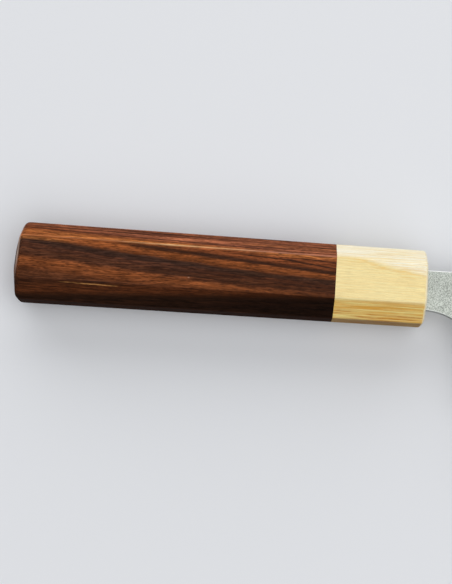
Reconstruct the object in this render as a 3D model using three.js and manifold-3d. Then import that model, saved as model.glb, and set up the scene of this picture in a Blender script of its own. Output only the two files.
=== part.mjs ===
// Santoku knife with an octagonal two-wood handle, in millimetres with +Z up.
// It lies on its left side: +X runs from butt to tip and +Y from cutting edge to spine.
// While modelling, x = 0 is the ferrule's front face, y = 0 the handle's axis and z = 0 the blade's mid plane;
// the finished group is then moved so that its origin lies under the middle of the knife.

import * as THREE from 'three';
import Module from 'manifold-3d';

const wasm = await Module();
wasm.setup();

// Handle: an octagonal bar that tapers from butt to front, sanded flush across both woods
const handleLength = 127;
const ferruleLength = 28;
const buttHeight = 24.4;
const frontHeight = 23.1;
const buttThickness = 19.9;
const frontThickness = 18.8;
const buttSideFacet = 13.3;
const frontSideFacet = 12.6;
const buttBackFacet = 6.6;
const frontBackFacet = 6.3;
const arrisWidth = 0.8;
const buttCrown = 1.4;
const buttRimRadius = 1.8;
const buttLeanDegrees = 2;
const ferruleRimRadius = 1;

// Handle joinery: a round tenon on the grip sits in the ferrule's blind bore
const ferruleFrontWall = 8;
const ferruleSideWall = 2.1;
const tenonClearance = 0.1;
const tenonEndGap = 0.3;
const tenonLip = 2.1;
const buttWood = 33;

// Tang and the adhesive bed that holds it
const shoulderSetback = 1;
const shoulderSlope = 1;
const tangEndHeight = 5.4;
const tangEndThickness = 1.8;
const tangPoint = 1.5;
const slotClearance = 0.15;
const beddingThickness = 0.8;
const beddingFit = 0.1;
const beddingFloor = 4;

// Blade profile
const neckHeight = 12.6;
const neckOffset = -0.35;
const choilRadius = 20;
const choilStraight = 13.4;
const edgeLength = 165;
const edgeFlat = 60;
const tipRise = 9;
const noseLength = 62;

// Fullness of the profile's belly and nose curves, as shares of their lengths and drops
const bellyFullness = 0.42;
const bellyTipReach = 0.19;
const bellyTipDrop = 0.62;
const noseFullness = 0.48;
const noseTipReach = 0.12;
const noseTipDrop = 0.36;

// Blade section: three steel layers, a wide ground bevel and a thin exposed core
const neckThickness = 2.2;
const tipThickness = 1.2;
const coreThickness = 0.6;
const edgeThickness = 0.08;
const bevelHeight = 16;
const coreReveal = 6.5;
const faceTaper = 0.005;
const spineEase = 0.4;
const claddingLip = 0.02;

// Mesh fineness
const arrisSteps = 3;
const rimSteps = 4;
const crownRings = 4;
const roundSides = 48;
const choilArcSteps = 12;
const choilDropSteps = 6;
const edgeSteps = 36;
const heelFan = 16;
const tipStations = [0.985, 0.997];
const halvings = 30;

// Places that follow from the sizes above
const buttX = -handleLength;
const jointX = -ferruleLength;
const spineY = neckOffset + neckHeight / 2;
const neckLowY = neckOffset - neckHeight / 2;
const edgeY = neckLowY - choilRadius - choilStraight;
const heelX = choilRadius;
const heelSpineX = heelX + heelFan;
const tip = new THREE.Vector2(heelX + edgeLength, edgeY + tipRise);
const coreHalf = coreThickness / 2;
const tenonRadius = frontThickness / 2 - ferruleSideWall - tenonClearance;
const tenonTipX = -ferruleFrontWall - tenonEndGap;
const shoulderX = -ferruleFrontWall + shoulderSetback + shoulderSlope;
const tangHeight = 2 * (tenonRadius - tenonLip - beddingThickness);
const tangEndX = buttX + buttWood;

const { lerp } = THREE.MathUtils;

// Lofts: rings run towards +X, and each ring turns from +Y to +Z

function closedGeometry(vertices, triangles) {
  const geometry = new THREE.BufferGeometry();
  geometry.setFromPoints(vertices);
  geometry.setIndex(triangles);
  return geometry;
}

function middleOf(ring) {
  const sum = ring.reduce((total, point) => total.add(point), new THREE.Vector3());
  return sum.divideScalar(ring.length);
}

function loft(rings, firstApex = middleOf(rings[0]), lastApex = middleOf(rings.at(-1))) {
  const count = rings[0].length;
  const lastStart = count * (rings.length - 1);
  const vertices = [...rings.flat(), firstApex, lastApex];
  const triangles = [];
  for (let i = 0; i < count; i++) {
    const next = (i + 1) % count;
    triangles.push(count * rings.length, next, i);
    triangles.push(count * rings.length + 1, lastStart + i, lastStart + next);
    for (let start = 0; start < lastStart; start += count) {
      triangles.push(start + i, start + next, start + count + next);
      triangles.push(start + i, start + count + next, start + count + i);
    }
  }
  return closedGeometry(vertices, triangles);
}

// Joins and cuts

function solid(geometry) {
  const vertProperties = new Float32Array(geometry.attributes.position.array);
  const triVerts = new Uint32Array(geometry.index.array);
  return new wasm.Manifold(new wasm.Mesh({ numProp: 3, vertProperties, triVerts }));
}

function geometryOf(body) {
  const { numProp, vertProperties, triVerts } = body.getMesh();
  const vertices = [];
  for (let i = 0; i < vertProperties.length; i += numProp) {
    vertices.push(new THREE.Vector3(vertProperties[i], vertProperties[i + 1], vertProperties[i + 2]));
  }
  return closedGeometry(vertices, Array.from(triVerts));
}

// A round bar along X, as a loft of two rings
function roundBar(fromX, toX, radius) {
  const circle = new THREE.EllipseCurve(0, 0, radius, radius).getPoints(roundSides).slice(0, -1);
  return loft([fromX, toX].map((x) => circle.map((p) => new THREE.Vector3(x, p.x, p.y))));
}

// A tapered rectangular bar along X: each end gives x, the middle's y, a height and a thickness
function taperedBar(ends) {
  const corners = [[-1, -1], [1, -1], [1, 1], [-1, 1]];
  return loft(ends.map(({ x, y, height, thickness }) => corners.map(
    ([across, up]) => new THREE.Vector3(x, y + across * height / 2, up * thickness / 2),
  )));
}

// Octagonal sections of the handle

function handleSizeAt(x) {
  const t = (x - buttX) / handleLength;
  return {
    height: lerp(buttHeight, frontHeight, t),
    thickness: lerp(buttThickness, frontThickness, t),
    sideFacet: lerp(buttSideFacet, frontSideFacet, t),
    backFacet: lerp(buttBackFacet, frontBackFacet, t),
  };
}

// Moves all eight facets inwards by the same distance
function insetSize({ height, thickness, sideFacet, backFacet }, inset) {
  const rise = (height - sideFacet) / 2;
  const run = (thickness - backFacet) / 2;
  const slant = Math.hypot(rise, run);
  const slantOffset = (run * sideFacet / 2 + rise * thickness / 2) / slant - inset;
  return {
    height: height - 2 * inset,
    thickness: thickness - 2 * inset,
    sideFacet: 2 * (slantOffset * slant - rise * (thickness / 2 - inset)) / run,
    backFacet: 2 * (slantOffset * slant - run * (height / 2 - inset)) / rise,
  };
}

function octagonCorners({ height, thickness, sideFacet, backFacet }) {
  const [h, w, b, n] = [height / 2, thickness / 2, sideFacet / 2, backFacet / 2];
  const corners = [[h, -n], [h, n], [b, w], [-b, w], [-h, n], [-h, -n], [-b, -w], [b, -w]];
  return corners.map(([y, z]) => new THREE.Vector2(y, z));
}

function octagonRing(size, x, lean = 0) {
  const corners = octagonCorners(size);
  const outline = new THREE.Shape();
  corners.forEach((corner, i) => {
    const towards = (other) => other.clone().sub(corner).setLength(arrisWidth / 2).add(corner);
    const before = towards(corners.at(i - 1));
    const after = towards(corners[(i + 1) % corners.length]);
    if (i === 0) {
      outline.moveTo(before.x, before.y);
    } else {
      outline.lineTo(before.x, before.y);
    }
    outline.quadraticCurveTo(corner.x, corner.y, after.x, after.y);
  });
  return outline.getPoints(arrisSteps).map((p) => new THREE.Vector3(x + lean * p.x, p.x, p.y));
}

// The rounded rim of an end face: the rings step inwards as they near the end
function rimRings(endX, direction, radius, lean) {
  const rings = [];
  for (let step = 0; step <= rimSteps; step++) {
    const turn = step / rimSteps * Math.PI / 2;
    const x = endX - direction * radius * (1 - Math.sin(turn));
    const inset = radius * (1 - Math.cos(turn));
    rings.push(octagonRing(insetSize(handleSizeAt(x), inset), x, lean));
  }
  return rings;
}

// Grip with a crowned butt, its tenon and the mortise for the tang

function mortiseEnds(margin, frontX, floorGap) {
  const taper = (tangHeight - tangEndHeight) / (shoulderX - shoulderSlope - tangEndX);
  return [tangEndX - floorGap, frontX].map((x) => ({
    x,
    y: neckOffset,
    height: tangEndHeight + taper * (x - tangEndX) + 2 * margin,
    thickness: 2 * faceHalf(x, spineY) + 2 * margin,
  }));
}

function handleBody() {
  const lean = Math.tan(THREE.MathUtils.degToRad(buttLeanDegrees));
  const rimX = buttX + buttCrown;
  const rim = rimRings(rimX, -1, buttRimRadius, lean).reverse();
  const crown = [];
  for (let ring = 1; ring < crownRings; ring++) {
    const share = ring / crownRings;
    const apex = new THREE.Vector3(buttX, 0, 0);
    crown.push(rim[0].map((point) => {
      const inner = point.clone().sub(apex).multiplyScalar(share);
      inner.x = lean * inner.y + buttCrown * share * share;
      return inner.add(apex);
    }));
  }
  const front = octagonRing(handleSizeAt(jointX), jointX);
  const bar = loft([...crown, ...rim, front], new THREE.Vector3(buttX, 0, 0));
  const tenon = roundBar(jointX - tenonRadius, tenonTipX, tenonRadius);
  const mortise = taperedBar(mortiseEnds(beddingThickness, 0, beddingFloor));
  return geometryOf(solid(bar).add(solid(tenon)).subtract(solid(mortise)));
}

function ferrule() {
  const back = octagonRing(handleSizeAt(jointX), jointX);
  const bar = loft([back, ...rimRings(0, 1, ferruleRimRadius, 0)]);
  const bore = roundBar(jointX - tenonRadius, -ferruleFrontWall, tenonRadius + tenonClearance);
  const slotEnd = {
    y: neckOffset,
    height: neckHeight + 2 * slotClearance,
    thickness: neckThickness + 2 * slotClearance,
  };
  const slot = taperedBar([{ ...slotEnd, x: tenonTipX }, { ...slotEnd, x: ferruleRimRadius }]);
  return geometryOf(solid(bar).subtract(solid(bore)).subtract(solid(slot)));
}

// Adhesive bed: a cup that fills the mortise around the tang
function tangBedding() {
  const cup = taperedBar(mortiseEnds(beddingThickness - beddingFit, tenonTipX, beddingFloor - beddingFit));
  const tangRoom = taperedBar(mortiseEnds(beddingFit, 0, beddingFit));
  return geometryOf(solid(cup).subtract(solid(tangRoom)));
}

// Half thickness of the blade's flat: it thins from neck to tip, from neck to tang end and from spine to edge
function faceHalf(x, y) {
  const [endX, endThickness] = x > 0 ? [tip.x, tipThickness] : [tangEndX, tangEndThickness];
  return lerp(neckThickness, endThickness, x / endX) / 2 - faceTaper * (spineY - y);
}

// Stations of the blade: straight lines from its lower outline to its spine.
// Each keeps how far its lower end lies above the level of the cutting edge.

function tangStation(x, height) {
  return {
    low: new THREE.Vector2(x, neckOffset - height / 2),
    spine: new THREE.Vector2(x, neckOffset + height / 2),
    depth: neckLowY - edgeY,
  };
}

function heelStations() {
  const arcY = neckLowY - choilRadius;
  const arc = new THREE.EllipseCurve(0, arcY, choilRadius, choilRadius, Math.PI / 2, 0, true);
  const drop = new THREE.LineCurve(new THREE.Vector2(heelX, arcY), new THREE.Vector2(heelX, edgeY));
  const outline = [...arc.getPoints(choilArcSteps), ...drop.getPoints(choilDropSteps).slice(1)];
  return outline.map((low, i) => ({
    low,
    spine: new THREE.Vector2(heelSpineX * i / (outline.length - 1), spineY),
    depth: low.y - edgeY,
  }));
}

function edgeOutline() {
  const bellyX = heelX + edgeFlat;
  const bellyStart = new THREE.Vector2(bellyX, edgeY);
  const bellyLength = tip.x - bellyX;
  const path = new THREE.CurvePath();
  path.add(new THREE.LineCurve(new THREE.Vector2(heelX, edgeY), bellyStart));
  path.add(new THREE.CubicBezierCurve(
    bellyStart,
    new THREE.Vector2(bellyX + bellyLength * bellyFullness, edgeY),
    new THREE.Vector2(tip.x - bellyLength * bellyTipReach, tip.y - tipRise * bellyTipDrop),
    tip,
  ));
  return path;
}

function spineOutline() {
  const noseStart = new THREE.Vector2(tip.x - noseLength, spineY);
  const noseDrop = spineY - tip.y;
  const path = new THREE.CurvePath();
  path.add(new THREE.LineCurve(new THREE.Vector2(heelSpineX, spineY), noseStart));
  path.add(new THREE.CubicBezierCurve(
    noseStart,
    new THREE.Vector2(noseStart.x + noseLength * noseFullness, spineY),
    new THREE.Vector2(tip.x - noseLength * noseTipReach, spineY - noseDrop * noseTipDrop),
    tip,
  ));
  return path;
}

function edgeStation(share) {
  return { low: edgeOutline().getPoint(share), spine: spineOutline().getPoint(share), depth: 0 };
}

function bladeStations() {
  const shares = Array.from({ length: edgeSteps - 1 }, (_, i) => (i + 1) / edgeSteps);
  return [
    tangStation(tangEndX, tangEndHeight - tangPoint),
    tangStation(tangEndX + tangPoint, tangEndHeight),
    tangStation(shoulderX - shoulderSlope, tangHeight),
    tangStation(shoulderX, neckHeight),
    ...heelStations(),
    ...[...shares, ...tipStations].map(edgeStation),
  ];
}

// One blade station: where a given depth above the edge lies, and the half thickness there
function sectionAt({ low, spine, depth }) {
  const spineDepth = depth + spine.y - low.y;
  const pointAt = (d) => low.clone().lerp(spine, (d - depth) / (spineDepth - depth));
  const flatHalf = (d) => {
    const point = pointAt(Math.min(d, spineDepth));
    return faceHalf(point.x, point.y);
  };
  const halfAt = (d) => {
    if (d >= bevelHeight) return flatHalf(d);
    if (d <= coreReveal) return lerp(edgeThickness / 2, coreHalf, d / coreReveal);
    return lerp(coreHalf, flatHalf(bevelHeight), (d - coreReveal) / (bevelHeight - coreReveal));
  };
  return { depth, spineDepth, pointAt, halfAt };
}

// The wanted depth where it lies inside the section, and otherwise the section's middle
function depthWithin(wanted, from, to) {
  return wanted > from && wanted < to ? wanted : (from + to) / 2;
}

function coreRing(station) {
  const { depth, spineDepth, pointAt, halfAt } = sectionAt(station);
  const depths = [depth, depthWithin(coreReveal, depth, spineDepth), spineDepth];
  const face = (side) => depths.map((d) => {
    const point = pointAt(d);
    return new THREE.Vector3(point.x, point.y, side * Math.min(coreHalf, halfAt(d)));
  });
  return [...face(-1), ...face(1).reverse()];
}

function claddingRing(station) {
  const { depth, spineDepth, pointAt, halfAt } = sectionAt(station);
  const lowDepth = Math.max(depth, coreReveal);
  const ease = Math.min(spineEase, (halfAt(spineDepth) - coreHalf) / 2);
  const bevelTop = depthWithin(bevelHeight, lowDepth, spineDepth - ease);
  const at = (d, half) => new THREE.Vector3(pointAt(d).x, pointAt(d).y, half);
  return [
    at(lowDepth, coreHalf),
    at(spineDepth, coreHalf),
    at(spineDepth, halfAt(spineDepth) - ease),
    at(spineDepth - ease, halfAt(spineDepth - ease)),
    at(bevelTop, halfAt(bevelTop)),
    at(lowDepth, Math.max(halfAt(lowDepth), coreHalf + claddingLip)),
  ];
}

function coreSteel() {
  return loft(bladeStations().map(coreRing), undefined, new THREE.Vector3(tip.x, tip.y, 0));
}

// The spine's point where the lamination line meets it, found by halving the way to the tip
function laminationEnd() {
  let [from, to] = [0, 1];
  for (let step = 0; step < halvings; step++) {
    const share = (from + to) / 2;
    const { low, spine } = edgeStation(share);
    [from, to] = spine.y - low.y > coreReveal ? [share, to] : [from, share];
  }
  const { spine } = edgeStation(from);
  return new THREE.Vector3(spine.x, spine.y, coreHalf + claddingLip / 2);
}

function rightCladding() {
  const leastDepth = coreReveal + spineEase;
  const clad = bladeStations().filter(({ low, spine, depth }) => depth + spine.y - low.y > leastDepth);
  return loft(clad.map(claddingRing), undefined, laminationEnd());
}

function leftCladding() {
  const mirrored = rightCladding().scale(1, 1, -1);
  const triangles = Array.from(mirrored.index.array);
  mirrored.setIndex(triangles.reverse());
  return mirrored;
}

const knife = new THREE.Group();

function addPiece(name, geometry, color, roughness, metalness) {
  const piece = new THREE.Mesh(geometry, new THREE.MeshStandardMaterial({ color, roughness, metalness }));
  piece.name = name;
  knife.add(piece);
}

addPiece('handle_body', handleBody(), 0x5f3522, 0.45, 0);
addPiece('ferrule', ferrule(), 0xebd6a0, 0.5, 0);
addPiece('tang_bedding', tangBedding(), 0xb9a77c, 0.6, 0);
addPiece('core_steel', coreSteel(), 0xc9ccce, 0.25, 1);
addPiece('right_cladding', rightCladding(), 0xb9bfba, 0.45, 1);
addPiece('left_cladding', leftCladding(), 0xb9bfba, 0.45, 1);

// The origin is the middle of the footprint, level with the lowest point
const extent = new THREE.Box3().setFromObject(knife);
const middle = extent.getCenter(new THREE.Vector3());
knife.position.set(-middle.x, -middle.y, -extent.min.z);

export default knife;
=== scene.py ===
import math

import bmesh
import bpy
from mathutils import Matrix, Vector, noise


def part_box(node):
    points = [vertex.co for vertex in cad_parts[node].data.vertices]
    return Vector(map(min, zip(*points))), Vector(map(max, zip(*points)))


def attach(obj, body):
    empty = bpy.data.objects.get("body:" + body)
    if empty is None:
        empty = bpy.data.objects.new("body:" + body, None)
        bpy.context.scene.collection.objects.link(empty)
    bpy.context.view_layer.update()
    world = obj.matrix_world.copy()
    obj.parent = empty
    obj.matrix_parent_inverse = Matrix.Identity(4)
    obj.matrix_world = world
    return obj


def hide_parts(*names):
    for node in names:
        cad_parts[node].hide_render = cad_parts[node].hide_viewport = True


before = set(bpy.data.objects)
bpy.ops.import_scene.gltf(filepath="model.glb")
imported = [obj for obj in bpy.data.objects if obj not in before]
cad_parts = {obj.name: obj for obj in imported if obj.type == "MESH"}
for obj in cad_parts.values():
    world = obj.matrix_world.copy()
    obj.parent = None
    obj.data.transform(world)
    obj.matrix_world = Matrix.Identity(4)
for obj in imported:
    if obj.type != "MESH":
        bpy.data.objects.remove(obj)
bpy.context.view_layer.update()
mm = 0.001
scene = bpy.context.scene
scene.view_settings.view_transform = "Standard"

# All shapes are worked out in millimetres from the ferrule's front face, on the handle's axis
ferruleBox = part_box("ferrule")
handleOrigin = (ferruleBox[0] + ferruleBox[1]) / 2
handleOrigin.x = ferruleBox[1].x


def nodeBox(name):
    return [(corner - handleOrigin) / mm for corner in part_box(name)]


gripLow, gripHigh = nodeBox("handle_body")
ferruleLow, ferruleHigh = nodeBox("ferrule")
coreLow, coreHigh = nodeBox("core_steel")
leftLow = nodeBox("left_cladding")[0]
rightHigh = nodeBox("right_cladding")[1]
buttX = gripLow.x
jointX = ferruleLow.x
tenonTipX = gripHigh.x
print("frame loaded, handle", round(-buttX, 1), "mm long")


def lerp(first, second, share):
    return first + (second - first) * share


def clamp(value, low, high):
    return max(low, min(high, value))


def quarterTurn(steps):
    return [step / steps * math.pi / 2 for step in range(steps + 1)]


# Lofted pieces: rings run from butt to tip, and each ring turns from +Y to +Z

def loftPiece(name, rings, marks, firstTip=None, lastTip=None, looped=False):
    bm = bmesh.new()
    layers = {title: bm.verts.layers.float.new(title) for title in marks}
    rows = []
    for j, ring in enumerate(rings):
        row = []
        for i, point in enumerate(ring):
            vert = bm.verts.new(handleOrigin + point * mm)
            for title, layer in layers.items():
                vert[layer] = marks[title][j][i]
            row.append(vert)
        rows.append(row)
    count = len(rows[0])
    pairs = list(zip(rows, rows[1:]))
    if looped:
        pairs.append((rows[-1], rows[0]))
    for near, far in pairs:
        for i in range(count):
            k = (i + 1) % count
            bm.faces.new((near[i], near[k], far[k], far[i]))
    for tip, row, j in ((firstTip, rows[0], 0), (lastTip, rows[-1], -1)):
        if tip is None:
            continue
        apex = bm.verts.new(handleOrigin + tip * mm)
        for title, layer in layers.items():
            apex[layer] = sum(marks[title][j]) / count
        for i in range(count):
            bm.faces.new((row[i], row[(i + 1) % count], apex))
    bmesh.ops.recalc_face_normals(bm, faces=bm.faces)
    for face in bm.faces:
        face.smooth = True
    for edge in bm.edges:
        edge.smooth = edge.calc_face_angle(0.0) < math.radians(creaseDegrees)
    mesh = bpy.data.meshes.new(name)
    bm.to_mesh(mesh)
    bm.free()
    piece = bpy.data.objects.new(name, mesh)
    scene.collection.objects.link(piece)
    return piece


creaseDegrees = 32
handle = {
    "sideFacet": (13.3, 12.6),   # broad facets, at butt and front
    "backFacet": (6.6, 6.3),     # narrow facets along the back and belly
    "upperRidge": (6.5, 9.6),    # y and z of the ridge that the woods' figure is counted from
    "bellyTaper": -0.005,        # how the belly's edge comes closer to the axis along x
    "bellyEdge": (-11.25, -11.45),
    "arrisWidth": 0.8,           # sanded ridge between two facets
    "arrisSteps": 6,
    "facetSteps": 6,
    "facetMargin": 0.3,          # points beside a ridge that keep its facet flat
    "ridgePolish": (0.1, 0.4, 0.8, 1.0, 0.8, 0.4, 0.1),   # across a ridge
    "buttCrown": 1.4,
    "buttRim": 2.2,
    "taperStart": 3.2,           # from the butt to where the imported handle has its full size
    "buttLean": 2.0,             # degrees
    "leanSteps": 2,              # rings after the rim over which the lean runs out
    "crownDip": 0.025,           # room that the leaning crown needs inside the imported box
    "ferruleRim": 1.3,
    "jointEase": 0.04,           # hairline softening where the two woods meet
    "rimSteps": 12,
    "rimRounding": 1.5,          # how much wider the ridges get as they turn over a rim
    "buttPolish": (37.0, 51.0, 84.0, 97.0),   # degrees round a rim where its polish and its painted highlight come and go
    "frontPolish": (24.0, 38.0, 72.0, 88.0),
    "crownSteps": 8,
    "bodySteps": 14,
    "ferruleSteps": 5,
    "tenonRadius": 7.2,
    "boreClearance": 0.1,
    "frontWall": 8.0,            # solid wood at the ferrule's front
    "mortiseFloor": -98.0,
    "mortiseFront": (10.2, 3.6),  # height and thickness
    "mortiseEnd": (7.0, 3.4),
    "slotFit": 0.05,             # gap round the neck in the ferrule's slot
}


def handleSize(x):
    fullX = buttX + handle["taperStart"]
    share = (x - fullX) / (jointX - fullX)
    along = (x - buttX) / -buttX
    height = lerp(gripHigh.y - gripLow.y, ferruleHigh.y - ferruleLow.y, share)
    thickness = lerp(gripHigh.z - gripLow.z, ferruleHigh.z - ferruleLow.z, share)
    side, back = (lerp(*handle[facet], along) for facet in ("sideFacet", "backFacet"))
    return height / 2, thickness / 2, side / 2, back / 2


# Half sizes after all eight facets have moved inwards by the same distance
def insetSize(size, inset):
    high, wide, side, back = size
    slant = Vector((wide - back, high - side)).normalized()
    return (
        high - inset,
        wide - inset,
        side - inset * (1 - slant.y) / slant.x,
        back - inset * (1 - slant.x) / slant.y,
    )


def octagonRing(x, inset=0.0, lean=0.0, rounding=0.0):
    high, wide, side, back = insetSize(handleSize(x), inset)
    corners = [
        Vector(pair) for pair in (
            (high, -back), (high, back), (side, wide), (-side, wide),
            (-high, back), (-high, -back), (-side, -wide), (side, -wide),
        )
    ]
    half = handle["arrisWidth"] / 2 + rounding
    flat = []
    for i, corner in enumerate(corners):
        following = corners[(i + 1) % len(corners)]
        before = corner + (corners[i - 1] - corner).normalized() * half
        towards = (following - corner).normalized()
        after = corner + towards * half
        for step in range(handle["arrisSteps"] + 1):
            t = step / handle["arrisSteps"]
            flat.append(before * (1 - t) ** 2 + corner * 2 * t * (1 - t) + after * t ** 2)
        facetStart = after + towards * handle["facetMargin"]
        facetEnd = following - towards * (half + handle["facetMargin"])
        for step in range(handle["facetSteps"] + 1):
            flat.append(facetStart.lerp(facetEnd, step / handle["facetSteps"]))
    return [Vector((x + lean * p.x, p.x, p.y)) for p in flat]


# How much each point of an octagon ring belongs to a ridge: 1 at its middle and 0 on the facets
def arrisWeights():
    return (list(handle["ridgePolish"]) + [0.0] * (handle["facetSteps"] + 1)) * 8


ringCount = len(arrisWeights())
noPolish = [0.0] * ringCount


def circleRing(x, radius, pattern):
    ring = []
    for point in pattern:
        out = Vector((0, point.y, point.z)).normalized() * radius
        ring.append(Vector((x, out.y, out.z)))
    return ring


# A rectangular ring whose corners lie opposite the middles of the four slanted facets
def slotRing(x, middleY, height, thickness):
    perSide = ringCount // 4
    firstCorner = ringCount - handle["facetSteps"] // 2 - 1
    signs = [(1, -1), (1, 1), (-1, 1), (-1, -1)]
    corners = [Vector((x, middleY + a * height / 2, b * thickness / 2)) for a, b in signs]
    ring = []
    for i in range(ringCount):
        side, step = divmod((i - firstCorner) % ringCount, perSide)
        ring.append(corners[side].lerp(corners[(side + 1) % 4], step / perSide))
    return ring


# A quarter-round rim: pairs of ring and polish from the flat side to the end face
def rimRings(endX, direction, radius, polish, lean=0.0):
    rings = []
    start, full, fading, end = polish
    for turn in quarterTurn(handle["rimSteps"]):
        x = endX - direction * radius * (1 - math.sin(turn))
        inset = radius * (1 - math.cos(turn))
        ring = octagonRing(x, inset, lean, handle["rimRounding"] * (1 - math.cos(turn)))
        degrees = math.degrees(turn)
        level = min((degrees - start) / (full - start), (end - degrees) / (end - fading))
        rings.append((ring, [clamp(level, 0.0, 1.0)] * ringCount))
    return rings


def makeGrip():
    lean = math.tan(math.radians(handle["buttLean"]))
    apex = Vector((buttX + handle["crownDip"], 0, 0))
    rim = rimRings(buttX + handle["buttCrown"], -1, handle["buttRim"], handle["buttPolish"], lean)[::-1]
    rings, ridges, rims = [], [], []
    for step in range(1, handle["crownSteps"]):
        share = step / handle["crownSteps"]
        ring = []
        for point in rim[0][0]:
            inner = (point - apex) * share
            inner.x = lean * inner.y + handle["buttCrown"] * share * share
            ring.append(apex + inner)
        rings.append(ring)
        ridges.append(noPolish)
        rims.append(noPolish)
    for ring, polish in rim:
        rings.append(ring)
        ridges.append(arrisWeights())
        rims.append(polish)
    bodyStart = buttX + handle["buttCrown"] + handle["buttRim"]
    ease = handle["jointEase"]
    for step in range(1, handle["bodySteps"] + 1):
        x = lerp(bodyStart, jointX - ease, step / handle["bodySteps"])
        share = max(0.0, 1 - step / handle["leanSteps"])
        rings.append(octagonRing(x, 0.0, lean * share))
        ridges.append(arrisWeights())
    rings.append(octagonRing(jointX, ease))
    shoulder = rings[-1]
    tenon = [circleRing(x, handle["tenonRadius"], shoulder) for x in (jointX, tenonTipX)]
    mouth = slotRing(tenonTipX, neckMiddleY, *handle["mortiseFront"])
    floor = slotRing(handle["mortiseFloor"], neckMiddleY, *handle["mortiseEnd"])
    rings += tenon + [mouth, floor]
    for marks in (ridges, rims):
        marks += [noPolish] * (len(rings) - len(marks))
    end = Vector((handle["mortiseFloor"], neckMiddleY, 0))
    return loftPiece("rosewood_grip", rings, {"ridge": ridges, "rim": rims}, apex, end)


def makeFerrule():
    ease = handle["jointEase"]
    back = octagonRing(jointX, ease)
    rings = [back, octagonRing(jointX + ease)]
    for step in range(1, handle["ferruleSteps"]):
        rings.append(octagonRing(lerp(jointX + ease, -handle["ferruleRim"], step / handle["ferruleSteps"])))
    rims = [noPolish] * len(rings)
    for ring, polish in rimRings(0.0, 1, handle["ferruleRim"], handle["frontPolish"]):
        rings.append(ring)
        rims.append(polish)
    ridges = [noPolish] + [arrisWeights()] * (len(rings) - 1)
    fit = 2 * handle["slotFit"]
    slotSize = (blade["neckHeight"] + fit, neckThickness + fit)
    rings += [slotRing(x, neckMiddleY, *slotSize) for x in (0.0, -handle["frontWall"])]
    bore = handle["tenonRadius"] + handle["boreClearance"]
    rings += [circleRing(x, bore, back) for x in (-handle["frontWall"], jointX)]
    for marks in (ridges, rims):
        marks += [noPolish] * (len(rings) - len(marks))
    return loftPiece("pale_ferrule", rings, {"ridge": ridges, "rim": rims}, looped=True)


blade = {
    "neckHeight": 12.6,
    "choilRadius": 20.0,
    "edgeFlat": 60.0,
    "tipRise": 9.0,
    "noseLength": 62.0,
    "bellyFullness": 0.42,       # shares of the belly's and nose's lengths and drops
    "bellyTipReach": 0.19,
    "bellyTipDrop": 0.62,
    "noseFullness": 0.48,
    "noseTipReach": 0.12,
    "noseTipDrop": 0.36,
    "tipThickness": 1.2,
    "tangEndThickness": 1.8,
    "tangHeight": (5.4, 8.6),    # at the tang's end and at its shoulder
    "tangPoint": 1.5,
    "shoulder": (-7.0, -6.0),
    "edgeHalf": 0.04,
    "microBevel": 0.5,
    "apexHalf": 0.015,
    "bevelHeight": 16.0,         # from edge to the foot of the pear-skin flat
    "coreReveal": 6.5,           # exposed core above the edge
    "revealWave": 1.1,           # how far the lamination line wanders upwards
    "revealNoise": [             # wave length, place in the noise, and share of the wave
        (13.0, 0.3, 0.7, 0.55),
        (4.5, 5.1, 2.6, 0.22),
    ],
    "faceTaper": 0.005,
    "spineEase": 0.4,
    "lowerEase": 0.3,            # rounding of neck and choil
    "burnishReach": 1.05,        # how far down the spine's burnish goes, in roundings
    "lowerBurnish": 0.35,        # how bright the lower rounding is, beside the spine's
    "layerGap": 0.005,
    "claddingLip": 0.015,
    "seatStep": 0.3,
    "microMost": 0.1,            # most of a low section that micro bevel, seat and its step may take
    "seatMost": 0.85,
    "stepMost": 0.3,
    "revealShares": (0.25, 0.6, 1.0),
    "bendShares": (0.1, 0.9),    # part of a section where the bevel's foot may lie
    "bendMargin": 0.05,
    "easeSteps": 5,
    "flatSteps": 7,
    "arcSteps": 24,
    "dropSteps": 14,
    "edgeSteps": 120,
    "pathSteps": 240,
    "halvings": 40,
    "heelFan": 16.0,             # slant of the last section at the heel
    "tipShares": (0.994, 0.997, 0.999),
}
neckThickness = rightHigh.z - leftLow.z
coreHalf = (coreHigh.z - coreLow.z) / 2
spineY = coreHigh.y
edgeY = coreLow.y
neckLowY = spineY - blade["neckHeight"]
neckMiddleY = (neckLowY + spineY) / 2
heelX = blade["choilRadius"]
tipPoint = Vector((coreHigh.x, edgeY + blade["tipRise"]))


# A straight run followed by a Bezier curve, as closely spaced points with their running lengths
def outlinePath(start, bend, firstHandle, secondHandle, end):
    count = blade["pathSteps"]
    points = [start.lerp(bend, i / count) for i in range(count)]
    for i in range(count + 1):
        t = i / count
        points.append(
            bend * (1 - t) ** 3 + firstHandle * 3 * t * (1 - t) ** 2
            + secondHandle * 3 * t * t * (1 - t) + end * t ** 3
        )
    lengths = [0.0]
    for first, second in zip(points, points[1:]):
        lengths.append(lengths[-1] + (second - first).length)
    return points, lengths


def pathPoint(path, share):
    points, lengths = path
    wanted = share * lengths[-1]
    i = next((k for k, length in enumerate(lengths[1:]) if length >= wanted), len(points) - 2)
    return points[i].lerp(points[i + 1], (wanted - lengths[i]) / (lengths[i + 1] - lengths[i]))


def edgePath():
    bellyX = heelX + blade["edgeFlat"]
    length = tipPoint.x - bellyX
    nearTipX = tipPoint.x - length * blade["bellyTipReach"]
    nearTipY = tipPoint.y - blade["tipRise"] * blade["bellyTipDrop"]
    return outlinePath(
        Vector((heelX, edgeY)),
        Vector((bellyX, edgeY)),
        Vector((bellyX + length * blade["bellyFullness"], edgeY)),
        Vector((nearTipX, nearTipY)),
        tipPoint,
    )


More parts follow.
